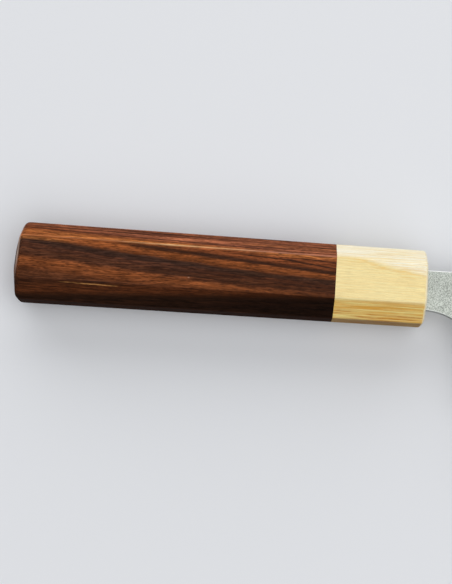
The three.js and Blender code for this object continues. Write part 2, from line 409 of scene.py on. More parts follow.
def spinePath():
    length = blade["noseLength"]
    noseX = tipPoint.x - length
    nearTipX = tipPoint.x - length * blade["noseTipReach"]
    nearTipY = spineY - (spineY - tipPoint.y) * blade["noseTipDrop"]
    return outlinePath(
        Vector((heelX + blade["heelFan"], spineY)),
        Vector((noseX, spineY)),
        Vector((noseX + length * blade["noseFullness"], spineY)),
        Vector((nearTipX, nearTipY)),
        tipPoint,
    )


lowerPath = edgePath()
upperPath = spinePath()


# A station is a line from the lower outline to the spine, with its lower end's height above the edge
def edgeStation(share):
    return pathPoint(lowerPath, share), pathPoint(upperPath, share), 0.0


def bladeStations():
    endHeight, shoulderHeight = blade["tangHeight"]
    backX, frontX = blade["shoulder"]
    tangRows = (
        (coreLow.x, endHeight - blade["tangPoint"]),
        (coreLow.x + blade["tangPoint"], endHeight),
        (backX, shoulderHeight),
        (frontX, blade["neckHeight"]),
    )
    stations = []
    for x, height in tangRows:
        low, high = (Vector((x, neckMiddleY + side * height / 2)) for side in (-1, 1))
        stations.append((low, high, neckLowY - edgeY))
    radius = blade["choilRadius"]
    outline = []
    for turn in quarterTurn(blade["arcSteps"]):
        outline.append(Vector((radius * math.sin(turn), neckLowY - radius + radius * math.cos(turn))))
    for step in range(1, blade["dropSteps"] + 1):
        outline.append(Vector((heelX, lerp(neckLowY - radius, edgeY, step / blade["dropSteps"]))))
    for i, low in enumerate(outline):
        spineX = (heelX + blade["heelFan"]) * i / (len(outline) - 1)
        stations.append((low, Vector((spineX, spineY)), low.y - edgeY))
    shares = [step / blade["edgeSteps"] for step in range(1, blade["edgeSteps"])]
    return stations + [edgeStation(share) for share in shares + list(blade["tipShares"])]


def faceHalf(point):
    if point.x > 0:
        share, end = point.x / tipPoint.x, blade["tipThickness"]
    else:
        share, end = point.x / coreLow.x, blade["tangEndThickness"]
    return lerp(neckThickness, end, share) / 2 - blade["faceTaper"] * (spineY - point.y)


# Height of the lamination line above the edge, wandering as forged layers do
def revealAt(x):
    wander = 0.5
    for length, y, z, share in blade["revealNoise"]:
        wander += share * noise.noise(Vector((x / length, y, z)))
    return blade["coreReveal"] + blade["revealWave"] * clamp(wander, 0.0, 1.0)


def sectionTools(station):
    low, spine, depth = station
    spineDepth = depth + spine.y - low.y

    def place(d):
        return low.lerp(spine, (d - depth) / (spineDepth - depth))

    def half(d):
        flat = faceHalf(place(clamp(max(d, blade["bevelHeight"]), depth, spineDepth)))
        if d >= blade["bevelHeight"]:
            return flat
        if d <= blade["coreReveal"]:
            return lerp(blade["edgeHalf"], coreHalf, d / blade["coreReveal"])
        rise = (d - blade["coreReveal"]) / (blade["bevelHeight"] - blade["coreReveal"])
        return lerp(coreHalf, flat, rise)

    return depth, spineDepth, place, half


def ringPoint(place, d, z):
    point = place(d)
    return Vector((point.x, point.y, z))


# Each blade ring comes with its points' heights above the edge, which the steel finishes follow
def coreRing(station):
    depth, spineDepth, place, half = sectionTools(station)
    reveal = revealAt(place(depth).x)
    micro = min(depth + blade["microBevel"], lerp(depth, spineDepth, blade["microMost"]))
    seat = max(reveal, depth + 2 * blade["microBevel"])
    seat = min(seat, lerp(depth, spineDepth, blade["seatMost"]))
    above = seat + min(blade["seatStep"], blade["stepMost"] * (spineDepth - seat))
    depths = [depth, micro] + [lerp(micro, seat, share) for share in blade["revealShares"]]
    depths += [above, lerp(above, spineDepth, 0.5), spineDepth]

    def thickness(d):
        if depth < blade["coreReveal"] and d == depth:
            return min(blade["apexHalf"] + half(d) - blade["edgeHalf"], coreHalf)
        return half(d) if d <= reveal else coreHalf

    left = [ringPoint(place, d, -thickness(d)) for d in depths]
    right = [ringPoint(place, d, thickness(d)) for d in reversed(depths)]
    return left + right, depths + depths[::-1]


def claddingRing(station):
    depth, spineDepth, place, half = sectionTools(station)
    reveal = revealAt(place(depth).x)
    low = max(depth, reveal)
    inner = coreHalf + blade["layerGap"]
    seat = half(low) + blade["layerGap"] if depth < reveal else inner
    topHalf = half(spineDepth)
    topEase = min(blade["spineEase"], (topHalf - coreHalf) / 2, (spineDepth - low) / 4)
    lowEase = clamp((depth - reveal) / 2, blade["layerGap"], blade["lowerEase"])
    rows = [
        (low, seat),
        (low + min(blade["seatStep"], (spineDepth - low) / 4), inner),
        (spineDepth, inner),
    ]
    for turn in quarterTurn(blade["easeSteps"]):
        d = spineDepth - topEase * (1 - math.cos(turn))
        rows.append((d, half(d) - topEase * (1 - math.sin(turn))))
    top, bottom = spineDepth - topEase, low + lowEase
    bend = clamp(blade["bevelHeight"], *(lerp(bottom, top, share) for share in blade["bendShares"]))
    margin = blade["bendMargin"] * (top - bottom)
    count = blade["flatSteps"]
    for start, end in ((top, bend), (bend, bottom)):
        near, far = start - margin, end + margin
        inside = [start - margin / 2] if start == bend else []
        inside += [lerp(near, far, k / count) for k in range(count)]
        rows += [(d, half(d)) for d in inside + [far, end]]
    outer = max(half(low) - lowEase, seat + blade["claddingLip"])
    for turn in quarterTurn(blade["easeSteps"])[1:]:
        d = bottom - lowEase * math.sin(turn)
        rows.append((d, lerp(outer, half(bottom), math.cos(turn))))
    depths = [d for d, z in rows]
    reach = blade["burnishReach"] * topEase
    eased = [clamp(1 - (spineDepth - d) / reach, 0.0, 1.0) for d in depths]
    if depth > reveal:
        shares = [clamp((d - low) / lowEase, 0.0, 1.0) for d in depths]
        lower = [4 * share * (1 - share) * blade["lowerBurnish"] for share in shares]   # most halfway round
        eased = [max(pair) for pair in zip(eased, lower)]
    return [ringPoint(place, d, z) for d, z in rows], depths, eased


def makeCore():
    rings, depths = zip(*(coreRing(station) for station in bladeStations()))
    first = sum(rings[0], Vector()) / len(rings[0])
    return loftPiece("core_layer", rings, {"edgeDepth": depths}, first, Vector((*tipPoint, 0)))


# The place on the nose where the lamination line runs out, found by halving the way to the tip
def claddingEnd():
    near, far = 0.5, 1.0
    for step in range(blade["halvings"]):
        share = (near + far) / 2
        low, spine, depth = edgeStation(share)
        if spine.y - low.y > revealAt(low.x) + blade["layerGap"]:
            near = share
        else:
            far = share
    point = pathPoint(upperPath, near)
    return Vector((point.x, point.y, coreHalf + blade["claddingLip"]))


def makeCladding(name, side):
    end = claddingEnd()
    least = blade["coreReveal"] + blade["revealWave"] + blade["spineEase"]
    clad = [station for station in bladeStations() if sectionTools(station)[1] > least]
    rings, depths, eased = zip(*(claddingRing(station) for station in clad))
    first = sum(rings[0], Vector()) / len(rings[0])
    mirror = Vector((1, 1, side))
    turned = [[point * mirror for point in ring] for ring in rings]
    return loftPiece(name, turned, {"edgeDepth": depths, "eased": eased}, first * mirror, end * mirror)


# Shader helpers

def srgb(red, green, blue):
    channels = []
    for value in (red, green, blue):
        share = value / 255
        channels.append(share / 12.92 if share <= 0.04045 else ((share + 0.055) / 1.055) ** 2.4)
    return (*channels, 1.0)


def wire(tree, socket, value):
    if isinstance(value, bpy.types.NodeSocket):
        tree.links.new(value, socket)
    else:
        socket.default_value = value


def plug(tree, node, inputs):
    for key, value in inputs.items():
        wire(tree, node.inputs[key], value)


def addNode(tree, kind, inputs=None, **settings):
    made = tree.nodes.new("ShaderNode" + kind)
    for key, value in settings.items():
        setattr(made, key, value)
    plug(tree, made, inputs or {})
    return made


def calc(tree, operation, *values):
    return addNode(tree, "Math", dict(enumerate(values)), operation=operation).outputs[0]


def minus(tree, first, second):
    return calc(tree, "SUBTRACT", first, second)


# Masks and plain numbers, multiplied in their order
def product(tree, first, *others):
    for other in others:
        first = calc(tree, "MULTIPLY", first, other)
    return first


def vectorCalc(tree, operation, *values):
    return addNode(tree, "VectorMath", dict(enumerate(values)), operation=operation).outputs[0]


# A smooth change from one value to another while a level passes between two limits
def fade(tree, level, low, high, toLow=0.0, toHigh=1.0):
    sockets = {"Value": level, "From Min": low, "From Max": high, "To Min": toLow, "To Max": toHigh}
    return addNode(tree, "MapRange", sockets, interpolation_type="SMOOTHSTEP").outputs[0]


def mixColors(tree, factor, first, second, blend="MIX"):
    sockets = {0: factor, 6: first, 7: second}
    return addNode(tree, "Mix", sockets, data_type="RGBA", blend_type=blend).outputs[2]


def between(tree, share, pair):
    return mixColors(tree, share, *(srgb(*tint) for tint in pair))


def tinted(tree, color, share, tint, blend="MIX"):
    return mixColors(tree, share, color, srgb(*tint), blend)


def toned(tree, color, tone):
    gray = addNode(tree, "CombineColor", {0: tone, 1: tone, 2: tone}).outputs[0]
    return mixColors(tree, 1.0, color, gray, "MULTIPLY")


# A colour ramp over a measured level, with its stops written at their own levels
def levelRamp(tree, level, stops):
    low, high = stops[0][0], stops[-1][0]
    share = calc(tree, "DIVIDE", minus(tree, level, low), high - low)
    made = addNode(tree, "ValToRGB", {0: share})
    elements = made.color_ramp.elements
    while len(elements) > 1:
        elements.remove(elements[-1])
    elements[0].position, elements[0].color = 0.0, srgb(*stops[0][1])
    for at, color in stops[1:]:
        elements.new((at - low) / (high - low)).color = srgb(*color)
    return made.outputs[0]


def noiseAt(tree, vector, detail=2.0, roughness=0.5):
    sockets = {"Vector": vector, "Scale": 1.0, "Detail": detail, "Roughness": roughness}
    return addNode(tree, "TexNoise", sockets).outputs[0]


# Noise with lumps of the same size in every direction
def lumps(tree, place, size, detail, roughness=0.5):
    return noiseAt(tree, vectorCalc(tree, "DIVIDE", place, (size,) * 3), detail, roughness)


# How far noises, whose middle is a half, push a border to and fro
def raggedShift(tree, noises, reaches):
    shift = 0.0
    for level, reach in zip(noises, reaches):
        shift = calc(tree, "MULTIPLY_ADD", minus(tree, level, 0.5), reach, shift)
    return shift


def meshMark(tree, title):
    return addNode(tree, "Attribute", attribute_name=title).outputs["Fac"]


# Millimetres from the ferrule's front on the handle's axis, as a vector
def handleCoordinates(tree):
    place = addNode(tree, "TexCoord").outputs["Object"]
    shifted = vectorCalc(tree, "SUBTRACT", place, handleOrigin)
    return vectorCalc(tree, "MULTIPLY", shifted, (1 / mm,) * 3)


# Shader groups: a position in millimetres and plain numbers go in, and levels between 0 and 1 come out
effects = {                      # noises have a detail and a roughness
    "streakNoise": (3.0, 0.55),
    "fibreNoise": (2.0, 0.6),
    "poreHeart": 0.55,           # share of a pore that is wholly dark
    "lineHeart": 0.3,            # and of a figure line
    "unevenPolish": (0.25, 0.7, 0.55, 1.0),   # noise levels, and what they leave of the polish
    "marksNoise": (4.0, 0.7),
    "hazeScale": (0.05, 0.12, 0.12),
    "hazeDetail": 3.0,
}


def newGroup(name, inputs, outputs):
    tree = bpy.data.node_groups.new(name, "ShaderNodeTree")
    for title in outputs:
        tree.interface.new_socket(name=title, in_out="OUTPUT", socket_type="NodeSocketFloat")
    for title in inputs:
        kind = "NodeSocketVector" if title == "position" else "NodeSocketFloat"
        tree.interface.new_socket(name=title, in_out="INPUT", socket_type=kind)
    entry = tree.nodes.new("NodeGroupInput").outputs
    leave = tree.nodes.new("NodeGroupOutput").inputs
    return tree, entry, leave


def useGroup(tree, group, **inputs):
    made = tree.nodes.new("ShaderNodeGroup")
    made.node_tree = group
    plug(tree, made, inputs)
    return made.outputs


# A group's position, drawn out along the knife by the sizes that its inputs give
def drawnOut(tree, entry, length, width):
    size = addNode(tree, "CombineXYZ", {0: entry[length], 1: entry[width], 2: entry[width]}).outputs[0]
    return vectorCalc(tree, "DIVIDE", entry["position"], size)


# Long streaks, fine fibres and short pores that run along the handle
def makeWoodGrain():
    titles = [mark + size for mark in ("streak", "fibre", "pore") for size in ("Length", "Width")]
    inputs = ("position", *titles, "poreShare")
    tree, entry, leave = newGroup("woodGrain", inputs, ("streak", "fibre", "pores"))
    for title in ("streak", "fibre"):
        drawn = drawnOut(tree, entry, title + "Length", title + "Width")
        wire(tree, leave[title], noiseAt(tree, drawn, *effects[title + "Noise"]))
    sockets = {"Vector": drawnOut(tree, entry, "poreLength", "poreWidth"), "Scale": 1.0}
    cells = addNode(tree, "TexVoronoi", sockets).outputs["Distance"]
    heart = product(tree, entry["poreShare"], effects["poreHeart"])
    wire(tree, leave["pores"], minus(tree, 1.0, fade(tree, cells, heart, entry["poreShare"])))
    return tree


# One drawn-out line of figure: it starts and ends along the handle and slants across it
def makeFigureLine():
    titles = ("along", "across", "start", "end", "level", "slope", "width", "feather")
    tree, entry, leave = newGroup("figureLine", titles, ("mask",))
    travelled = minus(tree, entry["along"], entry["start"])
    left = minus(tree, entry["end"], entry["along"])
    middle = calc(tree, "MULTIPLY_ADD", travelled, entry["slope"], entry["level"])
    away = calc(tree, "ABSOLUTE", minus(tree, entry["across"], middle))
    heart = product(tree, entry["width"], effects["lineHeart"])
    outer = calc(tree, "ADD", entry["width"], entry["width"])
    body = minus(tree, 1.0, fade(tree, away, heart, outer))
    ends = [fade(tree, way, 0.0, entry["feather"]) for way in (travelled, left)]
    wire(tree, leave["mask"], product(tree, body, product(tree, *ends)))
    return tree


# Ridges and rims to which sanding and hands have given a polish, a little uneven along their length; the
# woods also paint highlights along them
def makeHandPolish():
    tree, entry, leave = newGroup("handPolish", ("position", "patch"), ("ridge", "rim"))
    patches = noiseAt(tree, drawnOut(tree, entry, "patch", "patch"))
    uneven = fade(tree, patches, *effects["unevenPolish"])
    for title in ("ridge", "rim"):
        wire(tree, leave[title], product(tree, meshMark(tree, title), uneven))
    return tree


# Fine scratches left by the stones, drawn out along the blade, and a broad haze
def makeStoneMarks():
    tree, entry, leave = newGroup("stoneMarks", ("position", "length", "width"), ("marks", "haze"))
    drawn = drawnOut(tree, entry, "length", "width")
    wire(tree, leave["marks"], noiseAt(tree, drawn, *effects["marksNoise"]))
    broad = vectorCalc(tree, "MULTIPLY", entry["position"], effects["hazeScale"])
    wire(tree, leave["haze"], noiseAt(tree, broad, effects["hazeDetail"]))
    return tree


woodGrain = makeWoodGrain()
figureLine = makeFigureLine()
handPolish = makeHandPolish()
stoneMarks = makeStoneMarks()
print("shader groups made")


def newMaterial(name):
    material = bpy.data.materials.new(name)
    material.use_nodes = True
    tree = material.node_tree
    return material, tree, tree.nodes["Principled BSDF"]


def addBump(tree, shader, height, strength, depth):
    sockets = {"Strength": strength, "Distance": depth * mm, "Height": height}
    wire(tree, shader.inputs["Normal"], addNode(tree, "Bump", sockets).outputs[0])


# What both woods start from: the place on the handle, its grain and a slow wander of the figure
def startWood(name, wood):
    material, tree, shader = newMaterial(name)
    place = handleCoordinates(tree)
    grain = useGroup(tree, woodGrain, position=place, **wood["grain"])
    slow = noiseAt(tree, vectorCalc(tree, "MULTIPLY", place, wood["wanderScale"]), wood["wanderDetail"])
    return material, tree, shader, place, grain, raggedShift(tree, [slow], [wood["wander"]])


# And what both end with: pores lie low and fibres stand up
def finishWood(tree, shader, wood, grain, color, rough, gloss):
    plug(tree, shader, {
        "Base Color": color,
        "Roughness": rough,
        "Coat Weight": gloss,
        "Coat Roughness": wood["coatRough"],
        "Specular IOR Level": wood["specular"],
    })
    fibres = product(tree, grain["fibre"], wood["fibreRelief"])
    addBump(tree, shader, calc(tree, "MULTIPLY_ADD", grain["pores"], -1.0, fibres), *wood["bump"])


# Millimetres down from the upper ridge, counted on through the wood
def belowRidge(tree, y, z, wood):
    ridgeY, ridgeZ = handle["upperRidge"]
    inward = product(tree, minus(tree, z, ridgeZ), wood["throughWood"])
    return calc(tree, "ADD", minus(tree, ridgeY, y), inward)


# The narrow facet that runs along the belly, closer to the axis towards the front
def onBelly(tree, x, y):
    return fade(tree, calc(tree, "MULTIPLY_ADD", x, handle["bellyTaper"], y), *handle["bellyEdge"])


def drawLine(tree, along, across, line):
    titles = ("start", "end", "level", "slope", "width", "feather")
    return useGroup(tree, figureLine, along=along, across=across, **dict(zip(titles, line)))["mask"]


rosewood = {
    "grain": {
        "streakLength": 30.0, "streakWidth": 0.9, "fibreLength": 5.0, "fibreWidth": 0.34,
        "poreLength": 2.0, "poreWidth": 0.36, "poreShare": 0.42,
    },
    "fanStart": -124.0,          # bands leave the butt here and fan out towards the ferrule
    "throughWood": 0.9,          # how fast the bands move across with depth in the wood
    "drift": (0.115, -0.00038),  # slant of the bands and how it eases off towards the ferrule
    "spacing": (0.85, -0.0022),  # width of a band at the butt, and how it narrows
    "wander": 1.8,
    "wanderScale": (0.025, 0.16, 0.16),
    "wanderDetail": 2.0,
    "raggedness": (2.0, 1.6, 1.3),   # how far streaks, fibres and dashes break up the bands' borders
    "bands": [                   # from the back down over the broad facet
        (-13.0, (132, 73, 46)), (-11.0, (122, 67, 42)), (-9.4, (142, 78, 46)), (-8.0, (120, 66, 40)),
        (-6.2, (150, 82, 46)), (-4.9, (120, 66, 39)), (-3.6, (148, 82, 45)), (-1.4, (152, 85, 45)),
        (-0.1, (128, 71, 39)), (0.5, (72, 45, 33)), (1.2, (58, 39, 31)), (2.4, (64, 41, 32)),
        (3.2, (84, 49, 34)), (4.0, (70, 43, 32)), (4.8, (88, 51, 34)), (5.6, (74, 45, 31)),
        (6.4, (76, 45, 31)), (7.2, (92, 52, 32)), (8.0, (114, 64, 36)), (8.9, (128, 71, 38)),
        (10.0, (118, 66, 36)), (11.4, (110, 61, 34)), (12.6, (88, 50, 30)), (16.0, (82, 47, 29)),
    ],
    "mottle": ((131, 76, 55), (171, 102, 70)),
    "mottleFrom": (-8.0, -12.5),  # bands over which the figure turns into mottle
    "shades": [                  # tint, and the limits over which each measure brings it in
        ((239, 239, 239), ("band", 1.6, 3.0), ("band", 7.8, 6.8), ("x", -100.0, -80.0)),
        ((254, 244, 228), ("band", 0.0, 0.6), ("band", 7.8, 6.8), ("x", -78.0, -50.0)),
        ((218, 218, 218), ("band", -4.8, -3.8), ("band", 0.5, -0.5), ("x", -99.0, -84.0)),
        ((226, 226, 226), ("across", -0.2, 0.6), ("band", -3.4, -4.4), ("x", -72.0, -46.0)),
        ((206, 206, 206), ("band", 7.0, 8.0), ("x", -68.0, -40.0)),
    ],
    "nearSide": (-5.0, -3.6),    # z over which the right side's own figure comes in
    "lowerRidge": -6.5,          # y of the ridge above the lower facet, which has bands of its own
    "lowerScale": 1.53,          # facet width for each millimetre of height
    "lowerBlend": (-0.4, 0.4),
    "lowerDrift": 0.063,
    "lowerBands": [
        (0.0, (80, 45, 28)), (1.4, (70, 39, 24)), (2.6, (78, 43, 25)), (3.6, (84, 45, 25)),
        (5.0, (90, 48, 26)), (6.0, (70, 38, 21)), (6.8, (48, 27, 16)), (8.0, (35, 20, 12)),
        (9.0, (43, 24, 14)), (10.5, (31, 17, 10)), (12.0, (37, 21, 12)), (14.0, (27, 15, 9)),
    ],
    "bellyColor": (54, 31, 20),
    "lineWander": (0.4, 0.25),   # how much of the bands' wander and raggedness the lines follow
    "lightColor": (196, 120, 62),
    "lightBreaks": (0.3, 0.6, 0.4),  # fibre levels over which a line comes back, and its least share
    "lightLines": [              # paler wood, the first row a painted highlight beside the ridge at the butt: strength, then start, end, level, slope, width, feather
        (0.8, (-130.0, -84.0, -0.7, 0.006, 0.55, 24.0)),
        (0.8, (-104.0, -48.0, -0.8, 0.004, 0.5, 20.0)),
        (0.6, (-60.0, -8.0, 0.8, 0.0, 0.55, 22.0)),
        (0.42, (-138.0, -106.0, 0.55, 0.03, 0.4, 9.0)),
        (0.42, (-136.0, -78.0, -4.7, 0.075, 1.1, 12.0)),
        (0.26, (-64.0, -12.0, -5.0, 0.0, 0.9, 14.0)),
    ],
    "veinColor": (54, 33, 24),
    "veinBreaks": (0.3, 0.55, 0.63),
    "veins": [
        (0.95, (-100.0, -56.0, 0.4, 0.07, 0.52, 14.0)),
        (0.95, (-76.0, -14.0, 2.0, 0.071, 0.5, 10.0)),
        (0.95, (-47.0, -20.0, 1.9, 0.11, 0.22, 8.0)),
        (0.95, (-64.0, -34.0, 1.2, 0.05, 0.16, 9.0)),
        (0.95, (-41.0, -20.0, 1.5, 0.05, 0.16, 6.0)),
        (0.85, (-128.0, -36.0, -6.8, 0.066, 0.3, 14.0)),
        (0.8, (-102.0, -6.0, -9.9, 0.05, 0.36, 14.0)),
        (0.8, (-126.0, -80.0, -8.4, 0.03, 0.28, 10.0)),
        (0.8, (-64.0, -12.0, -4.0, 0.03, 0.3, 10.0)),
    ],
    "fleckBreaks": (0.3, 0.55, 0.5556),
    "flecks": [                  # colour, strength and line, counted up from the axis
        ((38, 23, 17), 0.9, (-106.0, -95.0, -6.55, -0.004, 0.16, 4.0)),
        ((190, 136, 80), 0.9, (-107.5, -98.0, -7.25, -0.004, 0.1, 1.8)),
        ((182, 128, 74), 0.9, (-101.0, -93.4, -7.33, 0.0, 0.09, 1.5)),
        ((160, 112, 64), 0.9, (-112.5, -104.8, -7.2, 0.0, 0.07, 2.0)),
        ((128, 96, 78), 0.9, (-73.0, -72.1, -3.3, 0.0, 0.12, 0.4)),
    ],
    "spread": (0.36, 0.64),      # noise levels over which streaks, fibres and dashes run from dark to light
    "streakTone": (0.84, 1.12),
    "fibreTone": (0.64, 1.34),
    "dashTone": (0.8, 1.18),
    "dashSize": (4.6, 0.6, 0.6),
    "dashNoise": (2.0, 0.6),
    "backReach": (8.6, 11.6),    # y over which the wood darkens towards the back
    "backShade": 0.64,
    "poreColor": (40, 24, 17),
    "poreStrength": 0.55,
    "polishPatch": 6.0,
    "polishAndHighlightColors": [            # along a ridge's polish, brightened as a painted highlight
        (-127.0, (196, 118, 65)), (-114.0, (176, 108, 63)), (-104.0, (144, 88, 53)),
        (-95.0, (160, 103, 64)), (-86.0, (210, 154, 103)), (-78.0, (236, 188, 132)),
        (-62.0, (222, 162, 112)), (-50.0, (186, 126, 96)), (-27.0, (170, 116, 94)),
    ],
    "ridgeTint": 0.9,
    "ridgeSide": (-6.0, -1.0),   # y over which the polish of the ridges, with its painted highlight, comes in from the belly
    "backSide": (11.2, 9.0),     # and from the back
    "rimHighlightColor": (240, 204, 180),  # painted highlight along the butt's edge
    "rimTint": 0.5,
    "rimHighlightSide": (-9.0, 2.0),
    "rough": (0.2, 0.8, 0.42, 0.54),  # fibre levels and roughness
    "ridgeRough": -0.08,
    "ridgeGloss": 0.25,
    "wax": 0.05,
    "coatRough": 0.25,
    "specular": 0.0,
    "fibreRelief": 0.5,
    "bump": (0.35, 0.05),        # strength, and depth in millimetres
}


def makeRosewood():
    material, tree, shader, place, grain, wander = startWood("rosewood", rosewood)
    x, y, z = addNode(tree, "SeparateXYZ", {0: place}).outputs
    dashSpace = vectorCalc(tree, "DIVIDE", place, rosewood["dashSize"])
    noises = {
        "streak": grain["streak"],
        "fibre": grain["fibre"],
        "dash": noiseAt(tree, dashSpace, *rosewood["dashNoise"]),
    }
    ragged = raggedShift(tree, noises.values(), rosewood["raggedness"])
    shift = calc(tree, "ADD", wander, ragged)
    across = belowRidge(tree, y, z, rosewood)
    along = minus(tree, x, rosewood["fanStart"])
    slant, easing = rosewood["drift"]
    slope = calc(tree, "MULTIPLY_ADD", along, easing, slant)
    lifted = minus(tree, across, product(tree, along, slope))
    width, narrowing = rosewood["spacing"]
    spacing = calc(tree, "MULTIPLY_ADD", along, narrowing, width)
    band = calc(tree, "ADD", calc(tree, "DIVIDE", lifted, spacing), shift)
    banded = levelRamp(tree, band, rosewood["bands"])
    mottled = between(tree, fade(tree, noises["streak"], *rosewood["spread"]), rosewood["mottle"])
    color = mixColors(tree, fade(tree, band, *rosewood["mottleFrom"]), banded, mottled)

    # the lower facet and the belly, on the right side only
    nearSide = fade(tree, z, *rosewood["nearSide"])
    below = product(tree, minus(tree, rosewood["lowerRidge"], y), rosewood["lowerScale"])
    lowerBand = calc(tree, "MULTIPLY_ADD", along, rosewood["lowerDrift"], below)
    lowerFigure = levelRamp(tree, calc(tree, "ADD", lowerBand, shift), rosewood["lowerBands"])
    onLower = product(tree, fade(tree, below, *rosewood["lowerBlend"]), nearSide)
    color = mixColors(tree, onLower, color, lowerFigure)
    color = tinted(tree, color, product(tree, onBelly(tree, x, y), nearSide), rosewood["bellyColor"])

    measures = {"band": band, "across": across, "x": x}
    for tint, *limits in rosewood["shades"]:
        masks = [fade(tree, measures[title], low, high) for title, low, high in limits]
        color = tinted(tree, color, product(tree, *masks), tint, "MULTIPLY")

    wanderShare, raggedShare = rosewood["lineWander"]
    wavy = calc(tree, "MULTIPLY_ADD", wander, wanderShare, across)
    wavy = calc(tree, "MULTIPLY_ADD", ragged, raggedShare, wavy)
    figure = (
        (wavy, "lightBreaks", [(rosewood["lightColor"], *row) for row in rosewood["lightLines"]]),
        (wavy, "veinBreaks", [(rosewood["veinColor"], *row) for row in rosewood["veins"]]),
        (y, "fleckBreaks", rosewood["flecks"]),
    )
    for level, breaks, rows in figure:
        low, high, least = rosewood[breaks]
        for tint, strength, line in rows:
            broken = fade(tree, noises["fibre"], low, high, least * strength, strength)
            shown = product(tree, drawLine(tree, x, level, line), broken, nearSide)
            color = tinted(tree, color, shown, tint)

    for title, level in noises.items():
        tone = fade(tree, level, *rosewood["spread"], *rosewood[title + "Tone"])
        color = toned(tree, color, tone)
    color = toned(tree, color, fade(tree, y, *rosewood["backReach"], 1.0, rosewood["backShade"]))
    pores = product(tree, grain["pores"], rosewood["poreStrength"])
    color = tinted(tree, color, pores, rosewood["poreColor"])

    polish = useGroup(tree, handPolish, position=place, patch=rosewood["polishPatch"])
    sides = [fade(tree, y, *rosewood[title]) for title in ("ridgeSide", "backSide")]
    ridge = product(tree, polish["ridge"], *sides)
    rim = product(tree, polish["rim"], fade(tree, y, *rosewood["rimHighlightSide"]))
    # the ridges' polish colour, partly a painted highlight
    polishAndHighlight = levelRamp(tree, x, rosewood["polishAndHighlightColors"])
    color = mixColors(tree, product(tree, ridge, rosewood["ridgeTint"]), color, polishAndHighlight)
    # painted highlight along the butt's edge, on its upper side
    color = tinted(tree, color, product(tree, rim, rosewood["rimTint"]), rosewood["rimHighlightColor"])
    rough = fade(tree, noises["fibre"], *rosewood["rough"])
    rough = calc(tree, "MULTIPLY_ADD", ridge, rosewood["ridgeRough"], rough)
    gloss = calc(tree, "MAXIMUM", product(tree, ridge, rosewood["ridgeGloss"]), rim)
    gloss = calc(tree, "MAXIMUM", gloss, rosewood["wax"])
    finishWood(tree, shader, rosewood, grain, color, rough, gloss)
    return material


paleWood = {
    "grain": {
        "streakLength": 18.0, "streakWidth": 0.38, "fibreLength": 3.2, "fibreWidth": 0.22,
        "poreLength": 1.5, "poreWidth": 0.15, "poreShare": 0.3,
    },
    "throughWood": 0.3,
    "wander": 1.6,
    "wanderScale": (0.09, 0.3, 0.3),
    "wanderDetail": 3.0,
    "raggedness": (1.6, 1.0),    # how far streaks and fibres break up the growth ring
    "spread": (0.34, 0.66),      # noise levels over which a streak runs from dark to light
    "heartwood": ((243, 219, 156), (247, 229, 170)),
    "sapwood": ((246, 226, 174), (255, 251, 234)),
    "sapBlend": (0.4, -1.6, 0.0, 0.95),   # distance from the growth ring, and the sapwood's share
    "lowerSide": ((236, 174, 74), (255, 233, 151)),
    "lowerBlend": (-5.8, -7.4),
    # painted shade that darkens the belly facet
    "paintedBellyShade": (182, 172, 172),
    "ringSlope": 0.21,           # growth ring that crosses the broad facet
    "ringLevel": 4.9,
    "ringLeast": 0.5,            # it starts level with the ridge
    "ringColor": (228, 184, 100),
    "ringStrength": 0.6,
    "ringLines": [               # start, end, level, slope, width, feather
        (-34.0, -14.0, 0.5, 0.03, 0.3, 5.0),
        (-23.0, -4.0, 0.5, 0.24, 0.32, 8.0),
        (-15.0, 6.0, 2.6, 0.13, 0.36, 8.0),
        (-14.0, 4.0, 1.7, 0.1, 0.3, 8.0),
        (-25.5, -19.0, 1.7, 0.0, 0.16, 2.5),
        (-18.5, -12.0, 2.7, 0.09, 0.16, 2.5),
        (-10.0, -2.0, 5.0, 0.04, 0.16, 3.0),
        (-17.0, -9.0, -3.0, 0.03, 0.24, 3.0),
    ],
    "streakColor": (192, 113, 35),
    "streakStrength": 0.85,
    "streakWander": 0.3,
    "streakLines": [             # the same, counted down from the axis
        (-29.0, -21.0, 9.5, 0.0, 0.2, 3.0),
        (-31.0, -24.0, 10.2, 0.0, 0.14, 2.0),
        (-19.0, 2.0, 10.0, 0.006, 0.15, 3.0),
        (-25.0, 1.0, 10.75, 0.0, 0.15, 6.0),
        (-28.0, -4.0, 11.4, 0.0, 0.2, 8.0),
    ],
    "lineBreaks": (0.36, 0.62, 0.12, 1.0),    # fibre levels, and what they leave of a line
    "fibreTone": (0.3, 0.7, 0.9, 1.04),
    "poreColor": (196, 156, 98),
    "poreStrength": 0.22,
    "polishPatch": 5.0,
    "polishAndHighlightColor": (254, 241, 206),
    "ridgeTint": 0.15,
    "rimHighlightSide": (6.0, 1.0),       # y over which the painted highlight on the front rim comes in
    "rimGloss": 0.6,
    "rough": (0.2, 0.8, 0.5, 0.6),
    "coatRough": 0.25,
    "specular": 0.15,
    "fibreRelief": 0.6,
    "bump": (0.3, 0.04),
}


